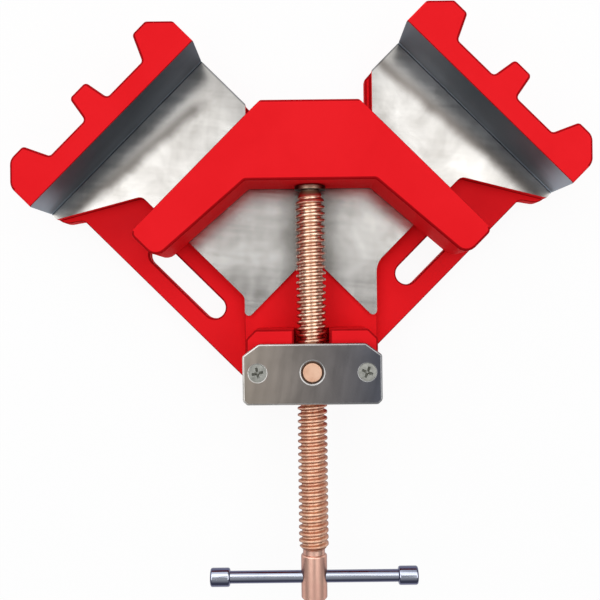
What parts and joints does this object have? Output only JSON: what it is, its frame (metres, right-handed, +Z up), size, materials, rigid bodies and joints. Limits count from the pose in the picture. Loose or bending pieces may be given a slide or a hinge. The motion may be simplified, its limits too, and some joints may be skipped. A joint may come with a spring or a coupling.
{
  "type": "welding corner clamp",
  "caption": "Cast welding corner clamp: fixed jaws at a right angle and a V-shaped moving jaw that a threaded spindle with a sliding bar pushes into the corner.",
  "frame": {"origin": "on the underside of the base, below the pivot of the swivel nut", "axes": "+Y along the spindle from its bar to the corner between the fixed jaws, +X to the right seen from above with the bar nearest, +Z up from the underside"},
  "size_m": [0.2683, 0.2814, 0.051],
  "materials": {
    "red_paint": "smooth red enamel on cast iron, with machined faces left bare",
    "copper_plate": "copper-plated steel",
    "ground_steel": "ground steel with a grain across its width",
    "screw_steel": "plated steel screws with a cross recess",
    "dark_steel": "oiled dark steel",
    "blue_zinc": "bright zinc plating with a blue cast"
  },
  "bodies": {
    "base": {"base_casting": "red_paint", "cover_plate": "ground_steel", "plate_screw_left": "screw_steel", "plate_screw_right": "screw_steel"},
    "nut": {"swivel_nut": "copper_plate"},
    "feed": {"thrust_washer": "dark_steel"},
    "spindle": {"spindle": "copper_plate", "retaining_clip": "dark_steel"},
    "jaw": {"moving_jaw": "red_paint"},
    "bar": {"tommy_bar": "blue_zinc", "bar_cap_left": "blue_zinc", "bar_cap_right": "blue_zinc"}
  },
  "joints": [
    {"name": "nut_swivel", "type": "hinge", "parent": "base", "child": "nut", "pos_m": [0, 0, 0.031], "axis": [0, 0, 1], "range_deg": [-3, 3]},
    {"name": "jaw_feed", "type": "slide", "parent": "nut", "child": "feed", "axis": [0, 1, 0], "range_m": [-0.06191, 0.04763]},
    {"name": "spindle_turn", "type": "hinge", "parent": "feed", "child": "spindle", "pos_m": [0, 0, 0.031], "axis": [0, 1, 0], "range_deg": [-7022, 5402]},
    {"name": "jaw_swivel", "type": "hinge", "parent": "feed", "child": "jaw", "pos_m": [0, 0.09312, 0.031], "axis": [0, 0, 1], "range_deg": [-3, 3]},
    {"name": "bar_slide", "type": "slide", "parent": "spindle", "child": "bar", "axis": [1, 0, 0], "range_m": [-0.0335, 0.0335]}
  ],
  "couplings": [
    {"joint": "spindle_turn", "follows": "jaw_feed", "rad_per_m": 1979},
    {"joint": "jaw_swivel", "follows": "nut_swivel", "ratio": -1}
  ]
}
